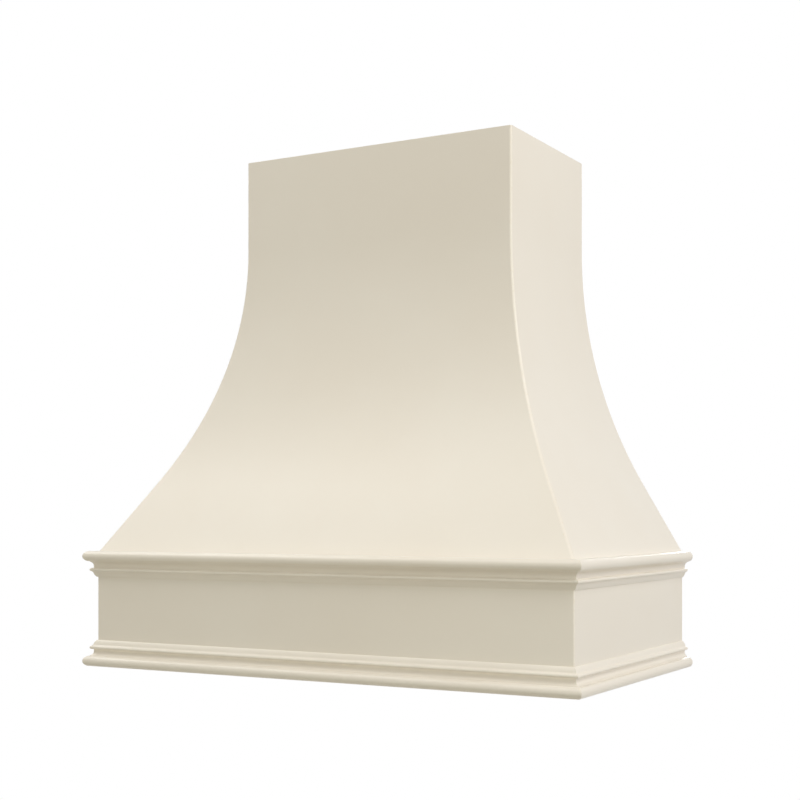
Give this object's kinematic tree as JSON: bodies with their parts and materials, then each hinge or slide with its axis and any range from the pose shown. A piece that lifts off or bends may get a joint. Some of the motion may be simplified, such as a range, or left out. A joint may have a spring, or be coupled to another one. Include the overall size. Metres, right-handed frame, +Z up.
{
  "type": "wooden range hood cover",
  "caption": "Wall-hung range hood cover in cream-painted wood: a flared chimney on a straight moulded apron, framed inside for a liner and a duct.",
  "frame": {"origin": "on the wall plane, in the middle of the bottom edge of the lower nailer's rear face", "axes": "+X along the front to the viewer's right, +Y into the wall, +Z up; the front faces -Y"},
  "size_m": [0.953, 0.5146, 0.9144],
  "materials": {
    "painted_wood": "satin cream paint over sanded hardwood and bending plywood",
    "hardwood": "bare planed poplar",
    "plywood": "bare sanded birch plywood"
  },
  "bodies": {
    "root": {"apron_back_rail": "hardwood", "back_liner_ledger": "hardwood", "deck": "plywood", "front_apron": "painted_wood", "front_base_moulding": "painted_wood", "front_cap_moulding": "painted_wood", "front_foot_cleat": "hardwood", "front_liner_ledger": "hardwood", "front_panel": "painted_wood", "front_top_rail": "hardwood", "hanging_rail": "hardwood", "left_apron": "painted_wood", "left_back_stile": "plywood", "left_base_moulding": "painted_wood", "left_cap_moulding": "painted_wood", "left_corner_block": "hardwood", "left_foot_cleat": "hardwood", "left_front_rib": "plywood", "left_hip_rib": "plywood", "left_liner_ledger": "hardwood", "left_panel": "painted_wood", "left_side_rib": "plywood", "left_top_rail": "hardwood", "lower_nailer": "hardwood", "right_apron": "painted_wood", "right_back_stile": "plywood", "right_base_moulding": "painted_wood", "right_cap_moulding": "painted_wood", "right_corner_block": "hardwood", "right_foot_cleat": "hardwood", "right_front_rib": "plywood", "right_hip_rib": "plywood", "right_liner_ledger": "hardwood", "right_panel": "painted_wood", "right_side_rib": "plywood", "right_top_rail": "hardwood"}
  },
  "joints": []
}
